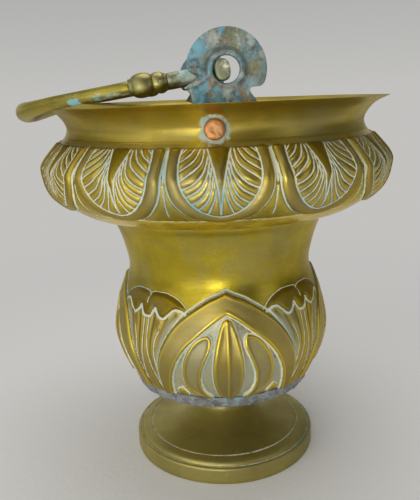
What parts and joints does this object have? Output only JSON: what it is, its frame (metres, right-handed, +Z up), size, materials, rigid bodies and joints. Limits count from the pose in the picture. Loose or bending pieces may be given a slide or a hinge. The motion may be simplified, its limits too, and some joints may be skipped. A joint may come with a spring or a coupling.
{
  "type": "holy water bucket",
  "caption": "Waisted brass bucket for holy water on a spun foot, with a flared rim and a swinging bail hooked in cast ears.",
  "frame": {"origin": "on the floor, under the middle of the whole object's box; the vessel's own axis stands 5.4 mm towards +X", "axes": "+Z up along the vessel's axis, -X the side the bail is folded to, -Y the side of the front ear"},
  "size_m": [0.24, 0.2292, 0.2813],
  "materials": {
    "chased_brass": "worn olive-yellow, pale patina in the chasing",
    "spun_brass": "dull satin",
    "soft_solder": "rough grey soft solder",
    "foot_brass": "dark olive satin",
    "washer_leather": "oiled",
    "verdigris_casting": "rough casting with blue-green verdigris",
    "rivet_copper": "peened copper",
    "bow_brass": "polished by the hand at the grip",
    "bail_casting": "pale green-grey patina"
  },
  "bodies": {
    "vessel": {"upper_collar": "chased_brass", "lower_bowl": "chased_brass", "bottom_dish": "spun_brass", "collar_solder_bead": "soft_solder", "seam_solder_bead": "soft_solder", "foot": "foot_brass", "foot_bolt": "spun_brass", "foot_sealing_washer": "washer_leather", "foot_nut": "spun_brass", "front_ear": "verdigris_casting", "rear_ear": "verdigris_casting", "front_rivet": "rivet_copper", "rear_rivet": "rivet_copper"},
    "bail": {"bail_bow": "bow_brass", "front_knop": "bail_casting", "rear_knop": "bail_casting", "front_bail_hook": "bail_casting", "rear_bail_hook": "bail_casting"}
  },
  "joints": [
    {"name": "bail_swing", "type": "hinge", "parent": "vessel", "child": "bail", "pos_m": [0.00539, 0, 0.26083], "axis": [-0.0724, 0.9974, 0], "range_deg": [0, 162]}
  ]
}
